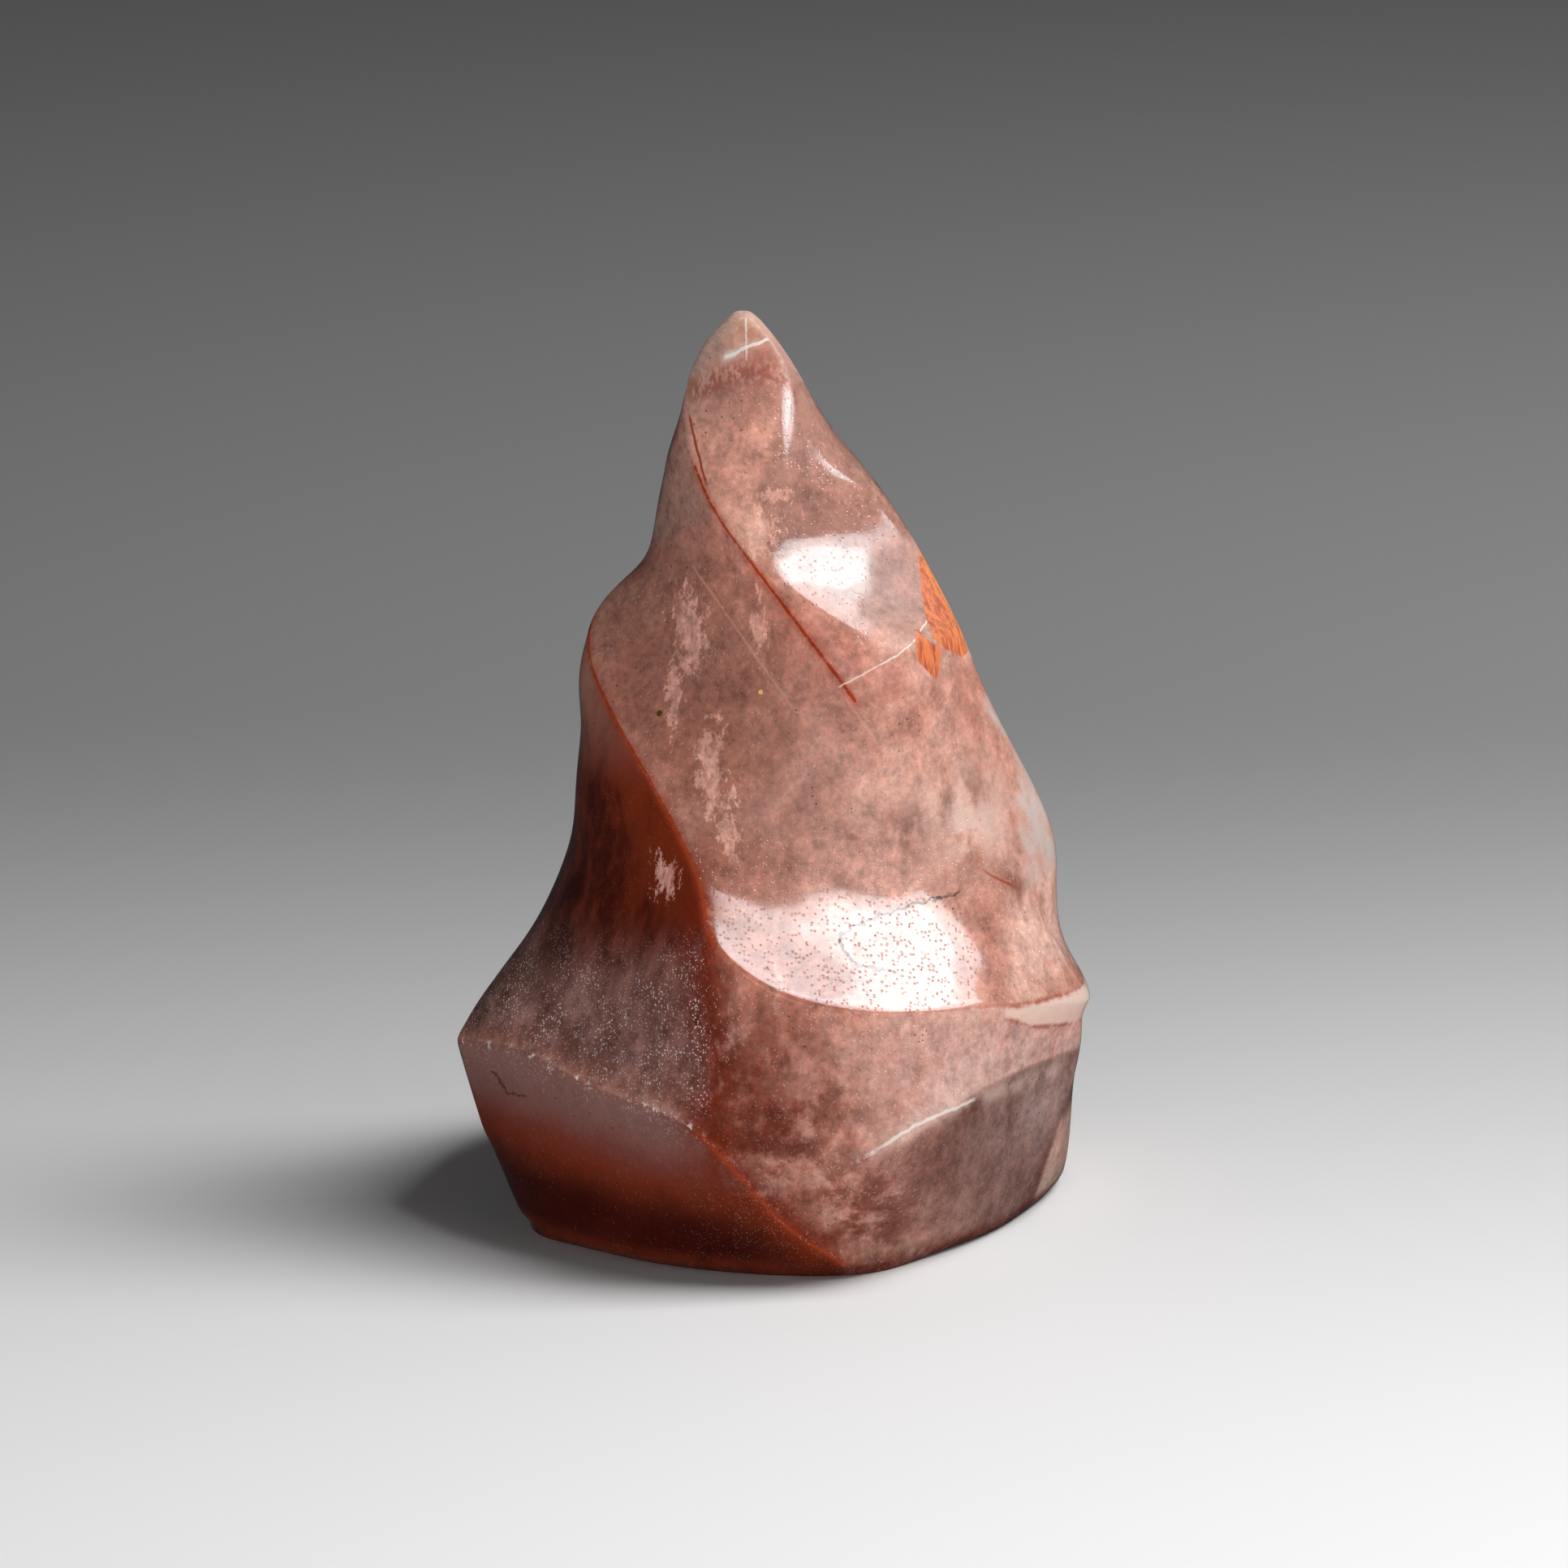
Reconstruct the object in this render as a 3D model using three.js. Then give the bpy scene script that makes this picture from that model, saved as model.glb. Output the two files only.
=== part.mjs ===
import * as THREE from 'three';

// Strawberry quartz freeform: one polished stone, carved as a twisted flame on a flat base.
// Millimetres, +Z up. +X is the right side seen from the front and +Y is the back.
// The base lies on Z = 0, and the origin is under the middle of the stone's outline.

// Driving dimensions
const TIP = [-5, 0, 120];
const TIP_RADIUS = 2.1;
const TIP_RING_DROP = 1.1;
const BASE_EDGE_RADIUS = 1.3;

// The stone's surface goes through eleven lines that run up from the base and twist to the tip.
// Each outline below goes once round the stone, from line to line, in this order:
//   0 left keel    1 left flute   2 left flute   3 front-left keel  4 front flute  5 front flute
//   6 front keel   7 right flute  8 right keel   9 back flute      10 back flute
const FOOT = [
  [-34.4, -8.3, 1.8], [-28, -18.1, 1.8], [-13.5, -26.8, 1.8], [8.3, -29.8, 1.8],
  [18.9, -23, 1.8], [27.6, -14.2, 1.8], [33, -5.3, 1.8], [37.2, 10.5, 1.8],
  [24, 26, 1.8], [-2, 31, 1.8], [-26, 19, 1.8],
];
const FLANK = [
  [-38.5, -4, 9.5], [-30.7, -17, 10.5], [-16.5, -26.5, 9.5], [-1, -31.8, 9.3],
  [11, -30.5, 8.5], [22.5, -23.5, 9.5], [35, -7, 9], [37.7, 9, 9],
  [26, 27, 9], [-2, 33, 9], [-29.5, 21, 9],
];
const GIRDLE = [
  [-43, -3, 23], [-33.4, -14, 25.4], [-22.4, -23.5, 23], [-11, -30.5, 20.2],
  [8, -33.5, 16.5], [22, -28, 23], [38.5, -5, 22.5], [37.2, 11, 21],
  [27, 28.5, 21], [-3, 35, 21], [-32, 24, 21],
];
const BELLY = [
  [-38.6, 4.5, 28.2], [-36.8, -5.5, 30], [-26.5, -16, 29.8], [-9.2, -30, 31.5],
  [5.5, -33, 28], [23, -26, 29], [38.6, -5.5, 26.2], [37.6, 9, 27],
  [29, 26, 28], [1, 33, 28], [-27, 25, 28],
];
const SHELF = [
  [-31.8, 11, 35.3], [-32.3, -1, 37], [-24.7, -14.5, 37.3], [-8.4, -29, 45],
  [3.5, -32, 38], [24, -25, 35], [39.5, -6, 30.5], [37.8, 6, 32],
  [29, 20, 37], [9, 30, 37], [-16, 27, 38],
];
const WAIST = [
  [-25.5, 17, 47], [-27.5, 1, 48.7], [-21, -12.5, 49.2], [-10.7, -22.5, 51.2],
  [2, -21.5, 50], [14.5, -18, 50], [25, -14, 51], [33.5, -5, 43.6],
  [35.7, 5, 47.5], [22, 20, 50], [-2, 24, 50],
];
const CHEST = [
  [-15, 20, 63], [-26.1, 5, 60.5], [-24, -6.5, 62.6], [-18.2, -13.5, 64],
  [-7.8, -18, 63.6], [4, -19, 64.2], [14.6, -18, 65.3], [22.2, -12, 66.3],
  [28.1, -1, 66], [20, 13, 67], [4, 20, 67],
];
const SHOULDER = [
  [0, 19, 79], [-16, 14, 76.5], [-25.5, 5.5, 73], [-25.3, 1, 76.4],
  [-15.7, -6, 77], [-5.3, -12.5, 77.6], [8, -19, 75.6], [16, -17, 81],
  [22.6, -3.5, 79.4], [18, 8, 82], [8.5, 15, 81],
];
const NECK = [
  [6, 13, 94], [-4, 14, 92], [-12.5, 11, 88], [-17.8, 5, 86.2],
  [-13.3, -2, 91.6], [-10.4, -6.5, 93.9], [-8.3, -10, 95.8], [-1.5, -12.8, 91],
  [12.6, -3.6, 95], [12.2, 4, 96], [10, 9.5, 95],
];
const BLADE = [
  [3, 8.5, 105], [-2, 10, 104], [-8.5, 10.5, 101], [-14, 7.5, 99.5],
  [-15, 3.5, 100], [-13.8, -1, 101.5], [-12.4, -3, 105.2], [-2.6, -10, 102],
  [6.5, -5, 101.5], [6.4, 2, 104], [5, 5.5, 104.5],
];
const CROWN = [
  [0, 4.5, 113.5], [-2.5, 5.5, 113], [-4.5, 5.5, 112.7], [-6.8, 5, 112.5],
  [-9.5, 3, 112], [-11, 0.5, 112.5], [-10.8, -2, 114], [0, -3.8, 112],
  [2, -1.4, 111.3], [1.7, 1, 112.3], [0.9, 3, 113],
];
// Degrees round the tip at which the lines reach its small dome
const TIP_ANGLES = [60, 85, 110, 132, 154, 177, 200, 300, 345, 370, 395];

// Row numbers of the outlines, counted from the ring on the floor
const ROW = {
  BASE: 0, FOOT: 1, FLANK: 2, GIRDLE: 3, BELLY: 4, SHELF: 5, WAIST: 6,
  CHEST: 7, SHOULDER: 8, NECK: 9, BLADE: 10, CROWN: 11, DOME: 12, TIP: 13,
};
const LINE_COUNT = 11;

// Ridges that follow one line upwards: line, first row, then how crisp each stretch is.
// Crispness 0 is smooth, about 2 is a soft ridge and 4 is a polished edge.
const RISING_RIDGES = [
  { line: 0, from: ROW.FOOT, crisp: [1.5, 3, 3, 3, 2.5, 2.5, 2.5, 2.5, 2.5, 2, 1.5] },
  { line: 3, from: ROW.FOOT, crisp: [2, 4, 0, 0, 3.5, 4, 4, 3, 1.5, 1.5, 1] },
  { line: 6, from: ROW.FOOT, crisp: [1.5, 3, 2, 1.5, 1, 0, 3.5, 3.5, 3.5, 3, 2] },
  { line: 7, from: ROW.BLADE, crisp: [1, 2] },
  { line: 8, from: ROW.FOOT, crisp: [1.5, 1.5, 1, 1, 1.5, 1.5, 2, 2, 1, 0, 0] },
];
// Ridges that follow one outline: row, first line, then the crispness of each stretch.
const CROSSING_RIDGES = [
  { row: ROW.FOOT, line: 0, crisp: Array(LINE_COUNT).fill(1.5) },
  { row: ROW.GIRDLE, line: 0, crisp: [4, 4, 4, 0, 2, 3, 2, 2, 2, 2, 2.5] },
  { row: ROW.BELLY, line: 5, crisp: [2, 1] },
  { row: ROW.SHELF, line: 3, crisp: [4, 4, 3.5, 1.5] },
  { row: ROW.WAIST, line: 4, crisp: [1, 1.5, 1] },
  { row: ROW.SHOULDER, line: 6, crisp: [3, 3] },
  { row: ROW.NECK, line: 3, crisp: [2, 2, 2] },
];

// Each stretch between outlines is halved three times, and this many of its eight steps stay.
const HALVINGS = 3;
const STEPS_KEPT = [2, 4, 4, 8, 8, 4, 4, 4, 4, 4, 4, 2, 2];
const FITTING_ROUNDS = 4;

// Outlines in order, with the floor ring, the dome and the tip worked out
function outlines() {
  const loops = [FOOT, FLANK, GIRDLE, BELLY, SHELF, WAIST, CHEST, SHOULDER, NECK, BLADE, CROWN];
  const rings = loops.map((loop) => loop.map((point) => new THREE.Vector3(...point)));
  const floorRing = rings[0].map((point) => {
    const reach = Math.hypot(point.x, point.y);
    const inset = (reach - BASE_EDGE_RADIUS) / reach;
    return new THREE.Vector3(point.x * inset, point.y * inset, 0);
  });
  const tip = new THREE.Vector3(...TIP);
  const dome = TIP_ANGLES.map((degrees) => {
    const angle = THREE.MathUtils.degToRad(degrees);
    return new THREE.Vector3(
      tip.x + TIP_RADIUS * Math.cos(angle),
      tip.y + TIP_RADIUS * Math.sin(angle),
      tip.z - TIP_RING_DROP,
    );
  });
  return [floorRing, ...rings, dome, rings[0].map(() => tip.clone())];
}

// Crispness of every stretch, upwards (row to next row) and across (line to next line)
function ridges(rowCount) {
  const blank = () => Array.from({ length: rowCount }, () => Array(LINE_COUNT).fill(0));
  const up = blank();
  const across = blank();
  for (const ridge of RISING_RIDGES) {
    ridge.crisp.forEach((value, step) => {
      up[ridge.from + step][ridge.line] = value;
    });
  }
  for (const ridge of CROSSING_RIDGES) {
    ridge.crisp.forEach((value, step) => {
      across[ridge.row][(ridge.line + step) % LINE_COUNT] = value;
    });
  }
  return { up, across };
}

const mean = (...points) => points
  .reduce((sum, point) => sum.add(point), new THREE.Vector3())
  .divideScalar(points.length);

// One halving of the net: every face, stretch and corner gives a point of the finer net.
// A crisp stretch keeps its middle, and a corner on two crisp stretches stays on their curve.
// points: rows of corners; up and across: crispness of the stretches that leave each corner.
function halve({ points, up, across }) {
  const rows = points.length;
  const lines = points[0].length;
  const at = (row, line) => points[row][(line + lines) % lines];
  const face = (row, line) => mean(
    at(row, line), at(row, line + 1), at(row + 1, line), at(row + 1, line + 1),
  );
  const soften = (smooth, sharp, crisp) => smooth.lerp(sharp, Math.min(crisp, 1));
  const curved = (point, before, after) => mean(mean(point, before), point, point, mean(point, after));
  const isEnd = (row) => row === 0 || row === rows - 1;

  function cornerPoint(row, line) {
    const point = at(row, line);
    if (isEnd(row)) {
      return curved(point, at(row, line - 1), at(row, line + 1));
    }
    const before = (line - 1 + lines) % lines;
    const spokes = [
      { to: at(row, line + 1), crisp: across[row][line] },
      { to: at(row, line - 1), crisp: across[row][before] },
      { to: at(row + 1, line), crisp: up[row][line] },
      { to: at(row - 1, line), crisp: up[row - 1][line] },
    ];
    const faces = mean(
      face(row, line), face(row, line - 1), face(row - 1, line), face(row - 1, line - 1),
    );
    const middles = mean(...spokes.map((spoke) => mean(point, spoke.to)));
    const smooth = faces.addScaledVector(middles, 2).add(point).divideScalar(4);
    const sharp = spokes.filter((spoke) => spoke.crisp > 0);
    if (sharp.length < 2) return smooth;
    const crisp = sharp.reduce((sum, spoke) => sum + spoke.crisp, 0) / sharp.length;
    const held = sharp.length > 2 ? point.clone() : curved(point, sharp[0].to, sharp[1].to);
    return soften(smooth, held, crisp);
  }

  function acrossPoint(row, line) {
    const middle = mean(at(row, line), at(row, line + 1));
    if (isEnd(row)) return middle;
    return soften(mean(middle, middle, face(row, line), face(row - 1, line)), middle, across[row][line]);
  }

  function upPoint(row, line) {
    const middle = mean(at(row, line), at(row + 1, line));
    return soften(mean(middle, middle, face(row, line), face(row, line - 1)), middle, up[row][line]);
  }

  const finer = { points: [], up: [], across: [] };
  const less = (crisp) => Math.max(crisp - 1, 0);
  for (let row = 0; row < rows; row += 1) {
    const even = points[row].flatMap((_, line) => [cornerPoint(row, line), acrossPoint(row, line)]);
    finer.points.push(even);
    finer.up.push(up[row].flatMap((crisp) => [less(crisp), 0]));
    finer.across.push(across[row].flatMap((crisp) => [less(crisp), less(crisp)]));
    if (row < rows - 1) {
      const odd = points[row].flatMap((_, line) => [upPoint(row, line), face(row, line)]);
      finer.points.push(odd);
      finer.up.push(up[row].flatMap((crisp) => [less(crisp), 0]));
      finer.across.push(Array(lines * 2).fill(0));
    }
  }
  return finer;
}

function refine(net, times) {
  return times === 0 ? net : refine(halve(net), times - 1);
}

// Moves the net's corners out until the smooth surface itself goes through the outlines
function fitted(net) {
  const stride = 2 ** HALVINGS;
  let current = net;
  for (let round = 0; round < FITTING_ROUNDS; round += 1) {
    const surface = refine(current, HALVINGS).points;
    const points = current.points.map((ring, row) => ring.map((point, line) => {
      const miss = net.points[row][line].clone().sub(surface[row * stride][line * stride]);
      return point.clone().add(miss);
    }));
    current = { ...current, points };
  }
  return current;
}

// Rows of the fine surface that stay, so that the solid has no more faces than it needs
function thinnedRows(surface) {
  const stride = 2 ** HALVINGS;
  const kept = STEPS_KEPT.flatMap((steps, band) => (
    Array.from({ length: steps }, (_, step) => band * stride + step * (stride / steps))
  ));
  kept.push(surface.length - 1);
  return kept.map((row) => surface[row]);
}

// Closed mesh from the rings: a fan on the floor, quads up the sides, a fan at the tip
function closedGeometry(rings) {
  const around = rings[0].length;
  const body = rings.slice(0, -1);
  const positions = body.flat().flatMap((point) => point.toArray());
  const floorCentre = body.flat().length;
  const tip = floorCentre + 1;
  positions.push(0, 0, 0, ...rings.at(-1)[0].toArray());
  const triangles = [];
  for (let step = 0; step < around; step += 1) {
    const next = (step + 1) % around;
    triangles.push(floorCentre, next, step);
    for (let row = 0; row < body.length - 1; row += 1) {
      const low = row * around;
      const high = low + around;
      triangles.push(low + step, low + next, high + next);
      triangles.push(low + step, high + next, high + step);
    }
    const top = (body.length - 1) * around;
    triangles.push(top + step, top + next, tip);
  }
  const geometry = new THREE.BufferGeometry();
  geometry.setAttribute('position', new THREE.Float32BufferAttribute(positions, 3));
  geometry.setIndex(triangles);
  geometry.computeVertexNormals();
  return geometry;
}

function quartzFlame() {
  const points = outlines();
  const net = fitted({ points, ...ridges(points.length) });
  const surface = refine(net, HALVINGS).points;
  const geometry = closedGeometry(thinnedRows(surface));
  geometry.computeBoundingBox();
  const middle = geometry.boundingBox.getCenter(new THREE.Vector3());
  geometry.translate(-middle.x, -middle.y, 0);
  const stone = new THREE.MeshStandardMaterial({ color: 0xb0796b, roughness: 0.12, metalness: 0 });
  const mesh = new THREE.Mesh(geometry, stone);
  mesh.name = 'quartz_flame';
  return mesh;
}

const part = new THREE.Group();
part.add(quartzFlame());

export default part;
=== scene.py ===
import math

import bpy
import numpy as np
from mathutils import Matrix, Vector


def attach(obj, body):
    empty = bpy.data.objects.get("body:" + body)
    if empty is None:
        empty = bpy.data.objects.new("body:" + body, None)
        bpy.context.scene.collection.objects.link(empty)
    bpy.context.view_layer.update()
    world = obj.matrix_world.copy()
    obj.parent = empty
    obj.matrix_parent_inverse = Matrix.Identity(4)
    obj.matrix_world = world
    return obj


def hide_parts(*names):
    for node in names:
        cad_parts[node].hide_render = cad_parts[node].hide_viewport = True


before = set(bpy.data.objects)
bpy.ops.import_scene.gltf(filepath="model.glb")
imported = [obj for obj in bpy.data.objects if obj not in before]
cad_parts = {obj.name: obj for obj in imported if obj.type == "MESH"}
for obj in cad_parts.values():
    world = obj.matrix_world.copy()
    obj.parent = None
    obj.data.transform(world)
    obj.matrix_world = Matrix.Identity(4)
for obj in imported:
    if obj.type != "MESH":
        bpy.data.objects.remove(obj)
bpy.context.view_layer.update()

# Strawberry quartz freeform: one polished stone on a pale floor, in metres, +Z up.
# The stone's outlines are the CAD part's own, in millimetres, refined here to a finer skin.
MM = 0.001
STONE_NODE = "quartz_flame"

TIP = (-5, 0, 120)
TIP_RADIUS = 2.1
TIP_RING_DROP = 1.1
BASE_EDGE_RADIUS = 1.3

# The skin goes through eleven lines that run up from the base and twist to the tip.
# Each outline goes once round the stone, from line to line, in this order:
#   0 left keel    1 left flute   2 left flute   3 front-left keel  4 front flute  5 front flute
#   6 front keel   7 right flute  8 right keel   9 back flute      10 back flute
FOOT = [
    (-34.4, -8.3, 1.8), (-28, -18.1, 1.8), (-13.5, -26.8, 1.8), (8.3, -29.8, 1.8),
    (18.9, -23, 1.8), (27.6, -14.2, 1.8), (33, -5.3, 1.8), (37.2, 10.5, 1.8),
    (24, 26, 1.8), (-2, 31, 1.8), (-26, 19, 1.8),
]
FLANK = [
    (-38.5, -4, 9.5), (-30.7, -17, 10.5), (-16.5, -26.5, 9.5), (-1, -31.8, 9.3),
    (11, -30.5, 8.5), (22.5, -23.5, 9.5), (35, -7, 9), (37.7, 9, 9),
    (26, 27, 9), (-2, 33, 9), (-29.5, 21, 9),
]
GIRDLE = [
    (-43, -3, 23), (-33.4, -14, 25.4), (-22.4, -23.5, 23), (-11, -30.5, 20.2),
    (8, -33.5, 16.5), (22, -28, 23), (38.5, -5, 22.5), (37.2, 11, 21),
    (27, 28.5, 21), (-3, 35, 21), (-32, 24, 21),
]
BELLY = [
    (-38.6, 4.5, 28.2), (-36.8, -5.5, 30), (-26.5, -16, 29.8), (-9.2, -30, 31.5),
    (5.5, -33, 28), (23, -26, 29), (38.6, -5.5, 26.2), (37.6, 9, 27),
    (29, 26, 28), (1, 33, 28), (-27, 25, 28),
]
SHELF = [
    (-31.8, 11, 35.3), (-32.3, -1, 37), (-24.7, -14.5, 37.3), (-8.4, -29, 45),
    (3.5, -32, 38), (24, -25, 35), (39.5, -6, 30.5), (37.8, 6, 32),
    (29, 20, 37), (9, 30, 37), (-16, 27, 38),
]
WAIST = [
    (-25.5, 17, 47), (-27.5, 1, 48.7), (-21, -12.5, 49.2), (-10.7, -22.5, 51.2),
    (2, -21.5, 50), (14.5, -18, 50), (25, -14, 51), (33.5, -5, 43.6),
    (35.7, 5, 47.5), (22, 20, 50), (-2, 24, 50),
]
CHEST = [
    (-15, 20, 63), (-26.1, 5, 60.5), (-24, -6.5, 62.6), (-18.2, -13.5, 64),
    (-7.8, -18, 63.6), (4, -19, 64.2), (14.6, -18, 65.3), (22.2, -12, 66.3),
    (28.1, -1, 66), (20, 13, 67), (4, 20, 67),
]
SHOULDER = [
    (0, 19, 79), (-16, 14, 76.5), (-25.5, 5.5, 73), (-25.3, 1, 76.4),
    (-15.7, -6, 77), (-5.3, -12.5, 77.6), (8, -19, 75.6), (16, -17, 81),
    (22.6, -3.5, 79.4), (18, 8, 82), (8.5, 15, 81),
]
NECK = [
    (6, 13, 94), (-4, 14, 92), (-12.5, 11, 88), (-17.8, 5, 86.2),
    (-13.3, -2, 91.6), (-10.4, -6.5, 93.9), (-8.3, -10, 95.8), (-1.5, -12.8, 91),
    (12.6, -3.6, 95), (12.2, 4, 96), (10, 9.5, 95),
]
BLADE = [
    (3, 8.5, 105), (-2, 10, 104), (-8.5, 10.5, 101), (-14, 7.5, 99.5),
    (-15, 3.5, 100), (-13.8, -1, 101.5), (-12.4, -3, 105.2), (-2.6, -10, 102),
    (6.5, -5, 101.5), (6.4, 2, 104), (5, 5.5, 104.5),
]
CROWN = [
    (0, 4.5, 113.5), (-2.5, 5.5, 113), (-4.5, 5.5, 112.7), (-6.8, 5, 112.5),
    (-9.5, 3, 112), (-11, 0.5, 112.5), (-10.8, -2, 114), (0, -3.8, 112),
    (2, -1.4, 111.3), (1.7, 1, 112.3), (0.9, 3, 113),
]
LOOPS = [FOOT, FLANK, GIRDLE, BELLY, SHELF, WAIST, CHEST, SHOULDER, NECK, BLADE, CROWN]
# Degrees round the tip at which the lines reach its small dome
TIP_ANGLES = (60, 85, 110, 132, 154, 177, 200, 300, 345, 370, 395)

# Row numbers of the outlines, counted from the ring on the floor
ROW = {
    "base": 0, "foot": 1, "flank": 2, "girdle": 3, "belly": 4, "shelf": 5, "waist": 6,
    "chest": 7, "shoulder": 8, "neck": 9, "blade": 10, "crown": 11, "dome": 12, "tip": 13,
}
LINE_COUNT = 11

# Ridges that follow a line upwards: line, first row, then how crisp each stretch is.
# Crispness 0 is smooth, about 2 is a soft ridge and 4 is a polished edge.
RISING_RIDGES = [
    (0, "foot", (1.5, 3, 3, 3, 2.5, 2.5, 2.5, 2.5, 2.5, 2, 1.5)),
    (3, "foot", (2, 4, 0, 0, 3.5, 4, 4, 3, 1.5, 1.5, 1)),
    (6, "foot", (1.5, 3, 2, 1.5, 1, 0, 3.5, 3.5, 3.5, 3, 2)),
    (7, "blade", (1, 2)),
    (8, "foot", (1.5, 1.5, 1, 1, 1.5, 1.5, 2, 2, 1, 0, 0)),
]
# Ridges that follow an outline: row, first line, then the crispness of each stretch.
CROSSING_RIDGES = [
    ("foot", 0, (1.5,) * LINE_COUNT),
    ("girdle", 0, (4, 4, 4, 0, 2, 3, 2, 2, 2, 2, 2.5)),
    ("belly", 5, (2, 1)),
    ("shelf", 3, (4, 4, 3.5, 1.5)),
    ("waist", 4, (1, 1.5, 1)),
    ("shoulder", 6, (3, 3)),
    ("neck", 3, (2, 2, 2)),
]

# The corners are fitted on a net halved three times, as the solid's are. The skin is
# halved five times, and keeps this many of its thirty-two steps between outlines.
FITTING_HALVINGS = 3
FITTING_ROUNDS = 4
SKIN_HALVINGS = 5
SKIN_STRIDE = 2 ** SKIN_HALVINGS
SKIN_STEPS = (4, 16, 32, 32, 32, 16, 16, 32, 16, 16, 16, 16, 8)

# The photograph: 1932 pixels square, the camera looks 17 degrees down from 0.9 m away
IMAGE_SIZE = 1932
PIXELS_PER_MM = 9.5
CAMERA_DISTANCE = 0.9
CAMERA_TILT = 17
CAMERA_AIM = (1.4, -0.7, 57.2)
SENSOR_WIDTH = 36

# The floor: its side in metres, how far it lies below the base in mm, its colour in front
# and behind, darker behind as painted light that falls off, and the depths in mm between which the
# colour changes
FLOOR_SIZE = 6
FLOOR_DROP = 0.05
FLOOR_ROUGHNESS = 0.75
FLOOR_FRONT = (0.9, 0.9, 0.9, 1)
FLOOR_BACK = (0.22, 0.22, 0.22, 1)
FLOOR_GRADE = (-190.0, 240.0)

# Lights: azimuth and height in degrees and distance in metres from the point they aim at, then
# width and height in metres, power in watts, and colour. That point lies this high, in metres.
AIM_HEIGHT = 0.05
WHITE = (1, 1, 1)
COOL = (0.94, 0.97, 1.0)
ROOM_LIGHT = (0.03, 0.03, 0.031, 1)
# These light the stone and the floor, and aren't seen in the polish
LIT_BOXES = [
    ("side_light", (93, 57, 0.95), (0.3, 0.55), 11.5, WHITE),
    ("front_light", (-10, 3, 1.2), (0.9, 0.18), 8.5, WHITE),
]
# These are only seen in the polish, where they make the photo's three highlights
SHINE_BOXES = [
    ("shine", (70, 48, 0.95), (0.84, 0.7), 17, COOL),
    ("shine_core", (69, 48, 0.94), (0.5, 0.42), 5, COOL),
]


def outline_rows():
    """Outlines in order, with the floor ring, the dome and the tip worked out."""
    loops = np.array(LOOPS, float)
    foot = loops[0]
    reach = np.hypot(foot[:, 0], foot[:, 1])[:, None]
    floor_ring = foot * (reach - BASE_EDGE_RADIUS) / reach
    floor_ring[:, 2] = 0
    angles = np.radians(TIP_ANGLES)
    dome = np.array(TIP, float) + np.stack([
        TIP_RADIUS * np.cos(angles),
        TIP_RADIUS * np.sin(angles),
        np.full(LINE_COUNT, -TIP_RING_DROP),
    ], axis=1)
    tip = np.tile(np.array(TIP, float), (LINE_COUNT, 1))
    return np.concatenate([floor_ring[None], loops, dome[None], tip[None]])


def ridge_crispness(row_count):
    """Crispness of every stretch: up to the next row, and across to the next line."""
    up = np.zeros((row_count, LINE_COUNT))
    across = np.zeros((row_count, LINE_COUNT))
    for line, first_row, crisp in RISING_RIDGES:
        start = ROW[first_row]
        up[start:start + len(crisp), line] = crisp
    for row, first_line, crisp in CROSSING_RIDGES:
        lines = (first_line + np.arange(len(crisp))) % LINE_COUNT
        across[ROW[row], lines] = crisp
    return up, across


def soften(smooth, sharp, crisp):
    return smooth + (sharp - smooth) * np.minimum(crisp, 1)[..., None]


def corner_points(points, up, across, face):
    """New places of the net's own corners, on inner rows."""
    inner = points[1:-1]
    faces = (face[1:] + np.roll(face[1:], 1, 1) + face[:-1] + np.roll(face[:-1], 1, 1)) / 4
    ends = np.stack([
        np.roll(inner, -1, 1), np.roll(inner, 1, 1), points[2:], points[:-2],
    ])
    crisp = np.stack([
        across[1:-1], np.roll(across[1:-1], 1, 1), up[1:-1], up[:-2],
    ])
    middles = (inner + ends.mean(0)) / 2
    smooth = (faces + 2 * middles + inner) / 4
    sharp = crisp > 0
    count = sharp.sum(0)
    pulled = (6 * inner + (sharp[..., None] * ends).sum(0)) / 8
    held = np.where((count > 2)[..., None], inner, pulled)
    weight = np.where(count < 2, 0, crisp.sum(0) / np.maximum(count, 1))
    return soften(smooth, held, weight)


def halve(points, up, across):
    """One halving of the net: every face, stretch and corner gives a point."""
    rows, lines, _ = points.shape
    right = np.roll(points, -1, 1)
    face = (points[:-1] + right[:-1] + points[1:] + right[1:]) / 4

    corner = (6 * points + right + np.roll(points, 1, 1)) / 8
    corner[1:-1] = corner_points(points, up, across, face)

    across_middle = (points + right) / 2
    across_point = across_middle.copy()
    rounded = (2 * across_middle[1:-1] + face[1:] + face[:-1]) / 4
    across_point[1:-1] = soften(rounded, across_middle[1:-1], across[1:-1])

    up_middle = (points[:-1] + points[1:]) / 2
    rounded = (2 * up_middle + face + np.roll(face, 1, 1)) / 4
    up_point = soften(rounded, up_middle, up[:-1])

    finer = np.zeros((2 * rows - 1, 2 * lines, 3))
    finer[::2, ::2] = corner
    finer[::2, 1::2] = across_point
    finer[1::2, ::2] = up_point
    finer[1::2, 1::2] = face

    less_up = np.maximum(up - 1, 0)
    less_across = np.maximum(across - 1, 0)
    finer_up = np.zeros((2 * rows - 1, 2 * lines))
    finer_up[::2, ::2] = less_up
    finer_up[1::2, ::2] = less_up[:-1]
    finer_across = np.zeros((2 * rows - 1, 2 * lines))
    finer_across[::2, ::2] = less_across
    finer_across[::2, 1::2] = less_across
    return finer, finer_up, finer_across


def refine(points, up, across, times):
    for _ in range(times):
        points, up, across = halve(points, up, across)
    return points


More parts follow.
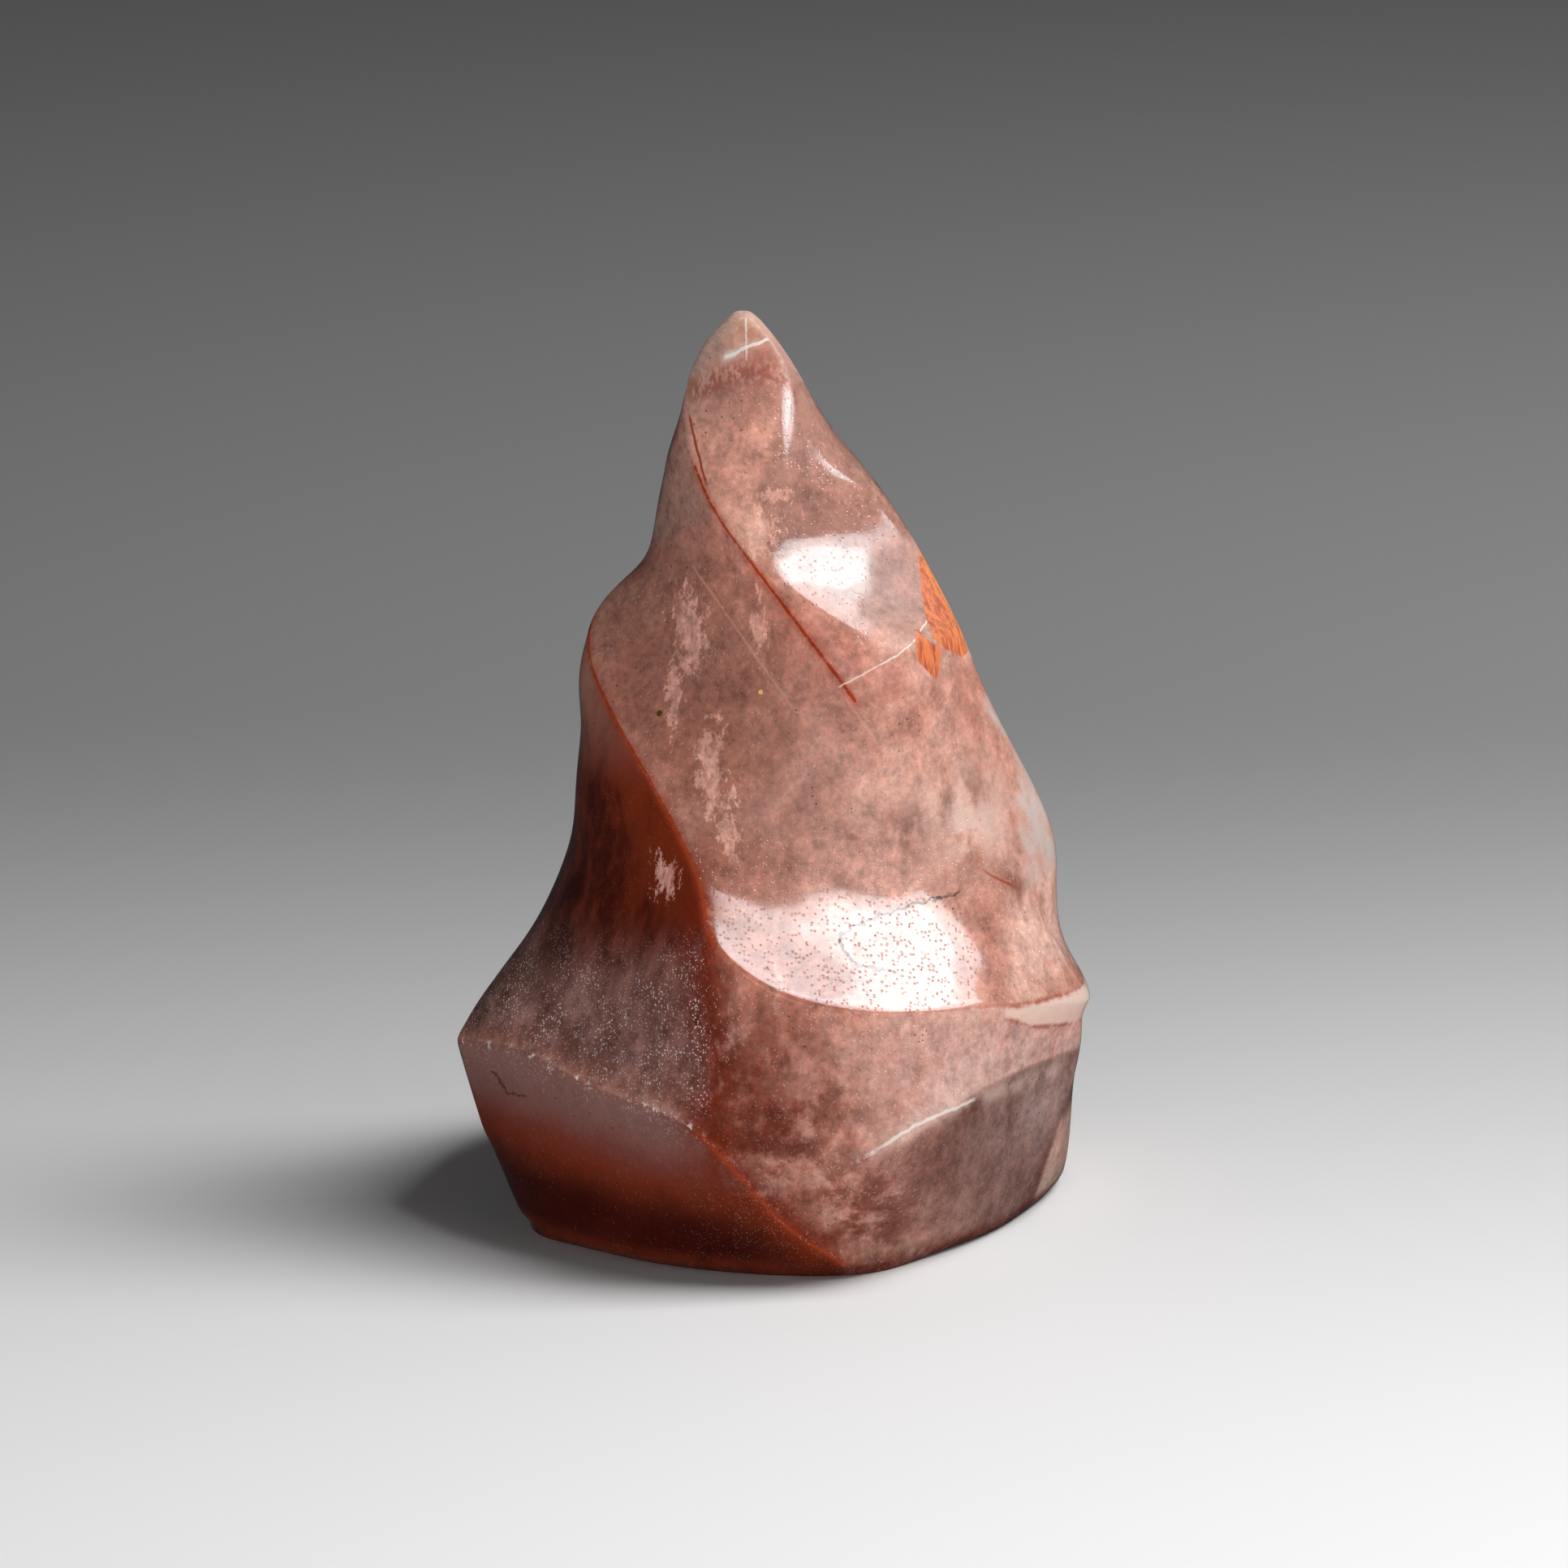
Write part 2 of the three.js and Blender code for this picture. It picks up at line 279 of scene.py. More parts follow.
def fitted(points, up, across):
    """Moves the net's corners out until the smooth skin goes through the outlines."""
    stride = 2 ** FITTING_HALVINGS
    net = points.copy()
    for _ in range(FITTING_ROUNDS):
        skin = refine(net, up, across, FITTING_HALVINGS)
        net += points - skin[::stride, ::stride]
    return net


def skin_rings():
    """Rings of the fine skin in millimetres, and each ring's row number."""
    points = outline_rows()
    up, across = ridge_crispness(len(points))
    skin = refine(fitted(points, up, across), up, across, SKIN_HALVINGS)
    kept = [
        band * SKIN_STRIDE + step * (SKIN_STRIDE // steps)
        for band, steps in enumerate(SKIN_STEPS)
        for step in range(steps)
    ]
    kept.append(len(skin) - 1)
    rings = skin[kept]
    low = rings.reshape(-1, 3).min(0)
    high = rings.reshape(-1, 3).max(0)
    middle = (low + high) / 2
    rings[..., :2] -= middle[:2]
    return rings, np.array(kept) / SKIN_STRIDE


def stone_mesh(rings, rows):
    """The stone's skin as one closed mesh: a fan on the floor, quads, a fan at the tip."""
    body = rings[:-1]
    ring_count, around, _ = body.shape
    floor_centre = ring_count * around
    vertices = np.concatenate([body.reshape(-1, 3), [[0, 0, 0]], rings[-1][:1]]) * MM
    step = np.arange(around)
    after = (step + 1) % around
    base = np.arange(ring_count - 1)[:, None] * around
    quads = np.stack([base + step, base + after, base + around + after, base + around + step], -1)
    top = (ring_count - 1) * around
    floor_fan = np.stack([np.full(around, floor_centre), after, step], -1)
    tip_fan = np.stack([top + step, top + after, np.full(around, floor_centre + 1)], -1)
    faces = [*quads.reshape(-1, 4).tolist(), *tip_fan.tolist(), *floor_fan.tolist()]
    mesh = bpy.data.meshes.new("stone")
    mesh.from_pydata(vertices.tolist(), [], faces)
    smooth = np.ones(len(faces), bool)
    smooth[-around:] = False
    mesh.polygons.foreach_set("use_smooth", smooth)
    lines = np.arange(around) * LINE_COUNT / around
    across = np.append(np.tile(lines, ring_count), [0, 0])
    upward = np.append(np.repeat(rows[:-1], around), [0, rows[-1]])
    return mesh, across, upward


def look_at(obj, place, aim):
    obj.location = place
    direction = Vector(aim) - Vector(place)
    obj.rotation_euler = direction.to_track_quat("-Z", "Y").to_euler()


def make_camera():
    camera = bpy.data.objects.new("camera", bpy.data.cameras.new("camera"))
    bpy.context.scene.collection.objects.link(camera)
    tilt = math.radians(CAMERA_TILT)
    aim = Vector(CAMERA_AIM) * MM
    away = Vector((0, -math.cos(tilt), math.sin(tilt)))
    look_at(camera, aim + away * CAMERA_DISTANCE, aim)
    camera.data.sensor_width = SENSOR_WIDTH
    focal_pixels = PIXELS_PER_MM * CAMERA_DISTANCE / MM
    camera.data.lens = focal_pixels / IMAGE_SIZE * SENSOR_WIDTH
    bpy.context.scene.camera = camera


def soft_box(name, direction, size, power, colour):
    """A rectangular lamp that lies in that direction from the stone and shines on it."""
    lamp = bpy.data.lights.new(name, "AREA")
    lamp.shape = "RECTANGLE"
    lamp.size, lamp.size_y = size
    lamp.energy = power
    lamp.color = colour
    box = bpy.data.objects.new(name, lamp)
    bpy.context.scene.collection.objects.link(box)
    look_at(box, sun_side(*direction), (0, 0, AIM_HEIGHT))
    return box


def new_material(name):
    material = bpy.data.materials.new(name)
    material.use_nodes = True
    tree = material.node_tree
    return material, tree, tree.nodes["Principled BSDF"]


def make_floor():
    """A plain sheet, pale in front and darker behind, as painted light that falls off towards the
    back.
    """
    mesh = bpy.data.meshes.new("floor")
    half = FLOOR_SIZE / 2
    corners = [(-half, -half, 0), (half, -half, 0), (half, half, 0), (-half, half, 0)]
    mesh.from_pydata(corners, [], [(0, 1, 2, 3)])
    floor = bpy.data.objects.new("floor", mesh)
    floor.location.z = -FLOOR_DROP * MM
    bpy.context.scene.collection.objects.link(floor)
    material, tree, shader = new_material("pale_floor")
    make = Pattern(tree)
    # Painted light: the floor's colour darkens from front to back
    depth = make.vector("DOT_PRODUCT", make.place, (0, 1, 0))
    grade = make.step(depth, *FLOOR_GRADE)
    make.plug(shader.inputs["Base Color"], make.mix(grade, FLOOR_FRONT, FLOOR_BACK))
    shader.inputs["Roughness"].default_value = FLOOR_ROUGHNESS
    mesh.materials.append(material)
    floor.visible_glossy = False


def sun_side(azimuth, height, distance):
    """A place round the stone: azimuth in degrees from the camera's side towards +X."""
    turn, lift = math.radians(azimuth), math.radians(height)
    flat = distance * math.cos(lift)
    return (flat * math.sin(turn), -flat * math.cos(turn), distance * math.sin(lift) + AIM_HEIGHT)


def make_lights():
    world = bpy.data.worlds.new("studio")
    bpy.context.scene.world = world
    world.use_nodes = True
    world.node_tree.nodes["Background"].inputs["Color"].default_value = ROOM_LIGHT
    for settings in LIT_BOXES:
        box = soft_box(*settings)
        box.visible_glossy = False
    for settings in SHINE_BOXES:
        box = soft_box(*settings)
        box.visible_diffuse = False
        box.visible_transmission = False
        box.visible_volume_scatter = False


def tone(red, green, blue):
    """A colour read off a screen, 0 to 255, as the linear colour that shaders take."""
    def linear(value):
        share = value / 255
        return share / 12.92 if share <= 0.04045 else ((share + 0.055) / 1.055) ** 2.4
    return (linear(red), linear(green), linear(blue), 1)


# Mesh layers that hold the zones' values
ZONE_LAYER = "zones_"
ZONES_PER_LAYER = 3


class Pattern:
    """Short calls for the nodes that patterns are built from. Values are numbers or sockets."""

    def __init__(self, tree, zone_names=()):
        self.tree = tree
        self.zone_names = zone_names
        self.made = {}
        place = self.add("TexCoord").outputs["Object"]
        self.place = self.vector("SCALE", place, scale=1 / MM)

    def add(self, kind, **settings):
        node = self.tree.nodes.new("ShaderNode" + kind)
        for name, value in settings.items():
            setattr(node, name, value)
        return node

    def plug(self, socket, value):
        if isinstance(value, bpy.types.NodeSocket):
            self.tree.links.new(value, socket)
        else:
            socket.default_value = value

    def math(self, operation, *values):
        node = self.add("Math", operation=operation)
        for socket, value in zip(node.inputs, values):
            self.plug(socket, value)
        return node.outputs[0]

    def vector(self, operation, *values, scale=None):
        node = self.add("VectorMath", operation=operation)
        for socket, value in zip(node.inputs, values):
            self.plug(socket, value)
        if scale is not None:
            self.plug(node.inputs["Scale"], scale)
        return node.outputs["Value" if operation in ("LENGTH", "DOT_PRODUCT") else "Vector"]

    def step(self, value, low, high):
        """0 below low, 1 above high and smooth between. low may be the larger of the two."""
        node = self.add("MapRange", interpolation_type="SMOOTHSTEP")
        self.plug(node.inputs["Value"], value)
        self.plug(node.inputs["From Min"], min(low, high))
        self.plug(node.inputs["From Max"], max(low, high))
        if low > high:
            self.plug(node.inputs["To Min"], 1.0)
            self.plug(node.inputs["To Max"], 0.0)
        return node.outputs["Result"]

    def mix(self, share, under, over):
        node = self.add("Mix", data_type="RGBA")
        self.plug(node.inputs[0], share)
        self.plug(node.inputs[6], under)
        self.plug(node.inputs[7], over)
        return node.outputs[2]

    def lay(self, under, over, *shares):
        """Lays a colour over another, as strongly as all the shares multiplied."""
        return self.mix(self.times(*shares), under, over)

    def zone(self, name):
        """How far the skin belongs to a named zone. Zones are stored three to a mesh layer."""
        layer, channel = divmod(self.zone_names.index(name), ZONES_PER_LAYER)
        if layer not in self.made:
            stored = self.add("Attribute", attribute_name=ZONE_LAYER + str(layer))
            parts = self.add("SeparateXYZ")
            self.plug(parts.inputs[0], stored.outputs["Vector"])
            self.made[layer] = parts.outputs
        return self.made[layer][channel]

    def noise(self, size, detail=4.0, rough=0.55, stretch=(1, 1, 1), shift=0.0, twist=0.0):
        """Cloudy noise from 0 to 1 with features of about size millimetres, shared by equal calls."""
        settings = (size, detail, rough, stretch, shift, twist)
        if settings in self.made:
            return self.made[settings]
        squeezed = tuple(1 / (size * s) for s in stretch)
        at = self.vector("MULTIPLY_ADD", self.place, squeezed, (shift, shift, shift))
        node = self.add("TexNoise")
        self.plug(node.inputs["Vector"], at)
        self.plug(node.inputs["Scale"], 1.0)
        self.plug(node.inputs["Detail"], detail)
        self.plug(node.inputs["Roughness"], rough)
        self.plug(node.inputs["Distortion"], twist)
        self.made[settings] = node.outputs[0]
        return node.outputs[0]

    def ragged(self):
        return self.noise(1.4, detail=4, rough=0.6, shift=57.0)

    def patchy(self):
        return self.noise(3.0, detail=4, shift=58.0)

    def streaks(self):
        return self.noise(5.0, detail=5, rough=0.62, stretch=(1, 1, 1.9), shift=11.0)

    def fibres(self):
        return self.noise(1.2, detail=3, rough=0.68, stretch=(0.7, 0.7, 2.8), shift=19.0)

    def grain(self):
        return self.noise(0.9, detail=3, rough=0.75, shift=71.0)

    def clouds(self):
        return self.noise(4.5, detail=5, rough=0.68, shift=22.0)

    def slow(self):
        return self.noise(9, detail=3, shift=17.0)

    def cells(self, size, turn, stretch):
        """Distance from the nearest of many scattered points, and a random value for each point."""
        settings = (size, turn, stretch)
        if settings not in self.made:
            place = self.place
            if any(turn):
                turned = self.add("VectorRotate", rotation_type="EULER_XYZ")
                self.plug(turned.inputs["Vector"], place)
                self.plug(turned.inputs["Rotation"], tuple(math.radians(a) for a in turn))
                place = turned.outputs[0]
            node = self.add("TexVoronoi")
            squeezed = tuple(1 / (size * s) for s in stretch)
            self.plug(node.inputs["Vector"], self.vector("MULTIPLY", place, squeezed))
            self.plug(node.inputs["Scale"], 1.0)
            lot = self.add("SeparateColor")
            self.plug(lot.inputs[0], node.outputs["Color"])
            self.made[settings] = (node.outputs["Distance"], lot.outputs[0])
        return self.made[settings]

    def grains(self, size, radius, share, turn=(0, 0, 0), stretch=(1, 1, 1)):
        """Scattered grains or needles: 1 inside one, in that share of the cells."""
        distance, lot = self.cells(size, turn, stretch)
        near = self.step(distance, radius, radius * 0.5)
        return self.math("MULTIPLY", near, self.math("GREATER_THAN", lot, 1 - share))

    def blob(self, centre, radii):
        """Distance from a point in units of the three radii, so 1 is the blob's edge."""
        away = self.vector("SUBTRACT", self.place, tuple(float(c) for c in centre))
        return self.vector("LENGTH", self.vector("DIVIDE", away, tuple(float(r) for r in radii)))

    def hair(self, name, width, strength, wander=0.3):
        """A named line of that width in millimetres, which wanders so many millimetres, with gaps."""
        sway = self.math("SUBTRACT", self.ragged(), 0.5)
        aside = self.math("MULTIPLY_ADD", sway, wander, self.zone(name + "_side"))
        line = self.step(self.math("ABSOLUTE", aside), width * 0.6, width * 0.3)
        gaps = self.step(self.patchy(), 0.3, 0.45)
        return self.times(line, gaps, self.zone(name + "_reach"), strength)

    def either(self, *values):
        total = values[0]
        for value in values[1:]:
            total = self.math("MAXIMUM", total, value)
        return total

    def times(self, *values):
        total = values[0]
        for value in values[1:]:
            total = self.math("MULTIPLY", total, value)
        return total


# Colours of the stone, as read off a screen
PINK = tone(196, 142, 126)
TAN = tone(180, 126, 110)
PEACH = tone(222, 184, 170)
SHADE = tone(158, 106, 90)
WINE = tone(114, 44, 24)
DUSK_BROWN = tone(152, 112, 100)
DEEP_WINE = tone(56, 9, 3)
EMBER = tone(122, 44, 18)
SMOKE = tone(150, 112, 106)
APRON_BROWN = tone(102, 66, 58)
MAUVE = tone(134, 102, 97)
GREY_MAUVE = tone(102, 67, 58)
LIGHT_MAUVE = tone(138, 106, 99)
PALE_MAUVE = tone(158, 132, 126)
SALMON = tone(204, 164, 150)
RUST = tone(112, 40, 18)
RUDDY = tone(116, 62, 48)
PALE_PINK = tone(204, 170, 160)
# The next three are laid as painted shade, painted light through the thin top, and a painted glow
# round the base edge
DUSKY = tone(158, 122, 110)
BLUSH = tone(208, 160, 144)
GLOW_RED = tone(104, 34, 14)
RED_RUST = tone(154, 62, 30)
COMB = tone(146, 72, 50)
VEIL = tone(226, 176, 160)
FROST = tone(240, 230, 226)
GREY_WHITE = tone(196, 188, 184)
CREAM = tone(228, 202, 190)
ORANGE = tone(216, 122, 66)
LEAF_BROWN = tone(158, 72, 34)
BROWN_SPECK = tone(84, 54, 42)
OLIVE = tone(96, 74, 22)
GOLD = tone(238, 206, 120)

# Ragged pale flakes inside the stone, seen at its skin: centre, half width and half height in
# millimetres. Each reaches this deep, so that it meets the curved skin.
FLAKE_DEPTH = 9
FLAKES = [
    ((-10.8, -8.3, 80.0), 2.3, 6.0),
    ((-12.6, -9.5, 72.5), 1.3, 5.0),
    ((-1.6, -14.0, 94.4), 2.6, 3.6),
    ((2.2, -13.0, 90.2), 1.6, 1.6),
    ((0.6, -11.5, 98.4), 2.4, 1.1),
    ((-8.2, -17.0, 64.2), 2.2, 6.4),
    ((-5.6, -19.2, 57.4), 1.5, 4.6),
    ((-13.8, -20.3, 50.9), 2.0, 2.8),
    ((-1.8, -15.4, 81.8), 1.2, 5.0),
]
# Needles: the ways that they lie in degrees from upright, how far they lean to the camera in
# degrees, and how thin and long they are
NEEDLE_TURNS = (25, -50)
NEEDLE_LEAN = 8
NEEDLE_STRETCH = (0.26, 0.26, 1.3)
# Single spots: centre, radius in millimetres and colour
SPOTS = [
    ((-14.3, -11.1, 69.7), 0.7, OLIVE),
    ((-1.6, -15.4, 73.9), 0.35, GOLD),
    ((10.3, -30.6, 35.5), 0.35, FROST),
]


def body_colour(make):
    """Cloudy pink and tan, in wisps, darker at the upper left, the upper right and the tip as painted
    shade, and lighter at the right and on the upper front facet as painted light.
    """
    cloud = make.noise(15, detail=4, rough=0.6)
    colour = make.mix(make.step(cloud, 0.35, 0.65), TAN, PINK)
    wisps = make.noise(5, detail=5, rough=0.62, stretch=(1, 1, 1.6), shift=7.0, twist=1.2)
    colour = make.lay(colour, PEACH, make.step(wisps, 0.5, 0.75), 0.55)
    # Painted shade: the left of the front flute, away from the lamps
    colour = make.lay(colour, SHADE, make.zone("shade"), 0.8)
    colour = make.lay(colour, SHADE, make.step(wisps, 0.48, 0.28), 0.45)
    # Painted shade on the upper flanks
    colour = make.lay(colour, DUSKY, make.zone("painted_shade_upper"), 0.8)
    # Painted light shining through the thin upper front facet
    colour = make.lay(colour, BLUSH, make.zone("painted_light_top"), make.step(wisps, 0.1, 0.5))
    colour = make.lay(colour, DUSKY, make.zone("tip_shade"), 0.7)
    wispy = make.step(wisps, 0.2, 0.55)
    colour = make.lay(colour, PALE_PINK, make.zone("belly"), wispy)
    # Painted light: paler at the right and in the front flute's right part
    colour = make.lay(colour, PEACH, make.zone("pale"), wispy)
    veils = make.noise(4.5, detail=5, rough=0.66, shift=39.0)
    colour = make.lay(colour, RUDDY, make.zone("ruddy"), make.step(veils, 0.6, 0.4))
    veiled = make.either(make.zone("belly"), make.zone("ruddy"))
    return make.lay(colour, PALE_PINK, make.step(veils, 0.52, 0.66), veiled, 0.55)


def left_colour(make, colour):
    """The left flute: the stone's red, laid darker as painted shade of the side away from the lamps,
    with a painted rust-orange glow beside the ridge, and the dusty apron below.
    """
    streaks = make.streaks()
    # Painted shade: deep red to wine over the left flute, with a painted glow near the ridge
    shaded_wine = make.mix(make.step(streaks, 0.35, 0.7), DEEP_WINE, WINE)
    shaded_wine = make.lay(shaded_wine, EMBER, make.zone("ember"), make.step(streaks, 0.1, 0.7))
    shaded_wine = make.lay(shaded_wine, DUSK_BROWN, make.zone("high_left"), make.step(streaks, 0.1, 0.6))
    colour = make.lay(colour, shaded_wine, make.zone("shaded_wine"))
    smoke = make.mix(make.step(streaks, 0.4, 0.65), APRON_BROWN, SMOKE)
    return make.lay(colour, smoke, make.zone("apron"))


def foot_colour(make, colour):
    """Below the girdle: at the left deep red, darker towards the floor as painted shade, under mauve
    that is partly a painted reflection of the floor; at the right grey-mauve, partly a painted
    reflection of the floor, with a painted lighter patch, and salmon.
    """
    flow = make.noise(11, detail=3, rough=0.55, stretch=(1.5, 1.5, 0.8), shift=43.0)
    high = make.math("MULTIPLY_ADD", flow, 0.5, make.zone("foot_level"))
    # Painted shade: the deep red darkens towards the floor
    deep = make.mix(make.step(high, 0.2, 0.75), DEEP_WINE, WINE)
    colour = make.lay(colour, deep, make.zone("foot_left"))
    # Mauve, partly the stone's colour and partly a painted reflection of the floor
    colour = make.lay(colour, MAUVE, make.zone("foot_left"), make.step(high, 0.6, 1.35), 0.9)
    columns = make.streaks()
    # Grey-mauve, partly a painted reflection of the floor
    greys = make.mix(make.step(columns, 0.3, 0.7), GREY_MAUVE, LIGHT_MAUVE)
    colour = make.lay(colour, greys, make.zone("foot_right"))
    # Painted light: a lighter mauve patch
    colour = make.lay(colour, PALE_MAUVE, make.zone("lit_mauve"), make.step(columns, 0.2, 0.6))
    return make.lay(colour, SALMON, make.zone("corner"))


def rust_colour(make, colour):
    """Rust stain in the creases, broken up, a painted dark red glow round the base edge, and thin red
    lines with a halo along the ridges.
    """
    broken = make.noise(3.4, detail=5, rough=0.68, stretch=(1, 1, 2.0), shift=5.0)
    colour = make.lay(colour, RUST, make.zone("rust"), make.step(broken, 0.28, 0.5), 0.95)
    # Painted light: a dark red glow round the base edge
    glow = make.step(make.patchy(), 0.1, 0.6)
    colour = make.lay(colour, GLOW_RED, make.zone("foot_glow"), glow)
    near = make.math("MULTIPLY_ADD", make.ragged(), -0.5, make.zone("ridge_distance"))
    line = make.step(near, 0.14, -0.1)
    halo = make.times(make.step(near, 1.1, 0.0), 0.4)
    gaps = make.step(make.patchy(), 0.3, 0.46)
    return make.lay(colour, RED_RUST, make.either(line, halo), gaps, make.zone("ridge_stain"))


def flake_colour(make, colour):
    """Ragged pale flakes: a few large ones, and torn shards scattered between them."""
    torn = make.noise(1.9, detail=6, rough=0.82, stretch=(0.8, 0.8, 1.5), shift=6.0)
    flakes = []
    for centre, half_width, half_height in FLAKES:
        blob = make.blob(centre, (half_width, FLAKE_DEPTH, half_height))
        flakes.append(make.step(make.math("MULTIPLY_ADD", torn, 5.5, blob), 3.55, 3.4))
    solid = make.math("MULTIPLY_ADD", make.step(make.fibres(), 0.3, 0.6), 0.6, 0.3)
    colour = make.lay(colour, VEIL, make.either(*flakes), solid)
    return make.lay(colour, VEIL, make.step(torn, 0.62, 0.66), make.zone("shards"), 0.4)


def dust_colour(make, colour):
    """Bright dust and needles, dense at the lower left, and small brown specks."""
    clouds = make.step(make.clouds(), 0.42, 0.6)
    dusty = make.times(make.zone("dusty"), make.math("MULTIPLY_ADD", clouds, 0.85, 0.15))
    dots = make.grains(0.36, 0.38, 0.55)
    needles = make.either(*(
        make.grains(1.1, 0.24, 0.3, turn=(NEEDLE_LEAN, turn, 0), stretch=NEEDLE_STRETCH)
        for turn in NEEDLE_TURNS
    ))
    colour = make.lay(colour, SMOKE, dusty, make.step(make.grain(), 0.42, 0.7), 0.55)
    colour = make.lay(colour, FROST, make.either(needles, dots), dusty, 0.9)
    thin = make.step(make.slow(), 0.65, 0.4)
    colour = make.lay(colour, FROST, needles, thin, make.zone("sparkly"), 0.45)
    patches = make.either(make.step(make.slow(), 0.5, 0.62), make.zone("speckled"))
    return make.lay(colour, BROWN_SPECK, make.grains(0.5, 0.36, 0.07), patches, 0.85)


def vein_colour(make, colour):
    """Hair-thin lines: red and brown healed cracks, pale ones, and a painted highlight along the
    shoulder ridge.
    """
    # Painted highlight: the bright arc along the shoulder ridge, laid with the pale line down from
    # the tip
    colour = make.lay(colour, FROST, make.hair("pale_line_and_glint", 0.25, 0.65, wander=0.5))
    colour = make.lay(colour, VEIL, make.hair("faint_line", 0.35, 0.35))
    colour = make.lay(colour, RED_RUST, make.hair("red_line", 0.35, 0.9))
    return make.lay(colour, BROWN_SPECK, make.hair("brown_line", 0.4, 0.9, wander=2.0))


def frost_colour(make, colour):
    """White clouds and breaks, grey-brown smudges, and the blurred grey bulge at the right."""
    cloud = make.clouds()
    bulge = make.mix(make.step(cloud, 0.38, 0.6), SALMON, GREY_WHITE)
    colour = make.lay(colour, bulge, make.zone("bulge"), 0.9)
    colour = make.lay(colour, CREAM, make.zone("frost"), make.step(cloud, 0.34, 0.56), 0.8)
    colour = make.lay(colour, FROST, make.hair("break_line", 0.5, 0.7, wander=0.8))
    smudges = make.step(make.streaks(), 0.42, 0.58)
    return make.lay(colour, BROWN_SPECK, make.zone("smudge"), smudges, 0.65)


def knob_colour(make, colour):
    """The pale lens at the right end of the shelf, with a rust rim."""
    ragged = make.math("MULTIPLY_ADD", make.ragged(), 0.8, -0.4)
    depth = make.math("ADD", make.zone("knob_depth"), ragged)
    colour = make.lay(colour, CREAM, make.step(depth, 0.0, 0.3), 0.85)
    rim = make.times(make.step(depth, -0.5, 0.0), make.step(depth, 0.7, 0.1))
    return make.lay(colour, RED_RUST, rim, make.step(make.patchy(), 0.42, 0.6), 0.65)


def leaf_colour(make, colour):
    """Two orange leaves at the right edge, with brown fibres along them."""
    ragged = make.math("MULTIPLY_ADD", make.ragged(), 0.5, -0.25)
    leaf = make.step(make.math("ADD", make.zone("leaf_depth"), ragged), 0.0, 0.15)
    orange = make.mix(make.step(make.fibres(), 0.36, 0.6), LEAF_BROWN, ORANGE)
    return make.lay(colour, orange, leaf)


def grain_colour(make, colour):
    """Crystal grain: fine and middling mottling, fainter in the clear parts."""
    middling = make.noise(3.0, detail=4, rough=0.68, shift=73.0)
    both = make.math("MULTIPLY_ADD", make.grain(), 1.1, make.math("MULTIPLY", middling, 1.5))
    grained = make.vector("SCALE", colour, scale=make.math("SUBTRACT", both, 0.27))
    return make.lay(grained, colour, make.zone("clear"), 0.75)


def comb_colour(make, colour):
    """The band of short red-brown strokes below the tip."""
    strokes = make.noise(0.9, detail=1, stretch=(0.5, 0.5, 1.8), shift=81.0)
    return make.lay(colour, COMB, make.zone("comb"), make.step(strokes, 0.45, 0.55), 0.8)


def spark_colour(make, colour):
    """Painted highlights: bright glints along the girdle's left edge."""
    glints = make.step(make.grain(), 0.53, 0.62)
    rows = make.step(make.patchy(), 0.42, 0.55)
    return make.lay(colour, FROST, make.zone("edge_glints"), glints, rows, 0.9)


def spot_colour(make, colour):
    ragged = make.math("MULTIPLY", make.ragged(), 0.9)
    for centre, radius, shade in SPOTS:
        edge = make.math("ADD", make.blob(centre, (radius, radius, radius)), ragged)
        colour = make.lay(colour, shade, make.step(edge, 1.45, 1.25))
    return colour


# The layers of colour over the body's own, from the lowest to the topmost
LAYERS = (
    left_colour, foot_colour, rust_colour, flake_colour, grain_colour, dust_colour, vein_colour,
    comb_colour, frost_colour, knob_colour, leaf_colour, spark_colour, spot_colour,
)


# The polish: its roughness, how much duller the satin parts and the slow haze are, the depth
# of pits and waves in millimetres, and how strongly they tilt the light
POLISH_ROUGHNESS = 0.08
SATIN_ROUGHNESS = 0.55
HAZE_ROUGHNESS = 0.08
PIT_DEPTH = 0.4
WAVE_DEPTH = 0.05
BUMP_STRENGTH = 0.6

# Cloudy quartz: some light goes straight through, and the rest scatters inside it, so many
# metres for red, green and blue
QUARTZ_IOR = 1.544
CLEAR_SHARE = 0.1
CLOUDY_SHARE = 0.85
SCATTER_RADIUS = (0.03, 0.016, 0.012)
ABSORB_COLOUR = (0.93, 0.45, 0.36, 1)
ABSORB_DENSITY = 120


def polish(make, shader):
    """The polish: slightly hazy in places, with fine pits and slow waves."""
    dull = make.math("MULTIPLY_ADD", make.zone("satin"), SATIN_ROUGHNESS, POLISH_ROUGHNESS)
    roughness = make.math("MULTIPLY_ADD", make.slow(), HAZE_ROUGHNESS, dull)
    make.plug(shader.inputs["Roughness"], roughness)
    pitted = make.math("MULTIPLY_ADD", make.zone("pitted"), 0.9, 0.1)
    pits = make.times(make.grains(0.5, 0.36, 0.5), pitted)
    waves = make.math("MULTIPLY", make.noise(7, detail=1, shift=27.0), WAVE_DEPTH)
    bump = make.add("Bump")
    bump.inputs["Strength"].default_value = BUMP_STRENGTH
    bump.inputs["Distance"].default_value = MM
    make.plug(bump.inputs["Height"], make.math("MULTIPLY_ADD", pits, -PIT_DEPTH, waves))
    make.plug(shader.inputs["Normal"], bump.outputs[0])


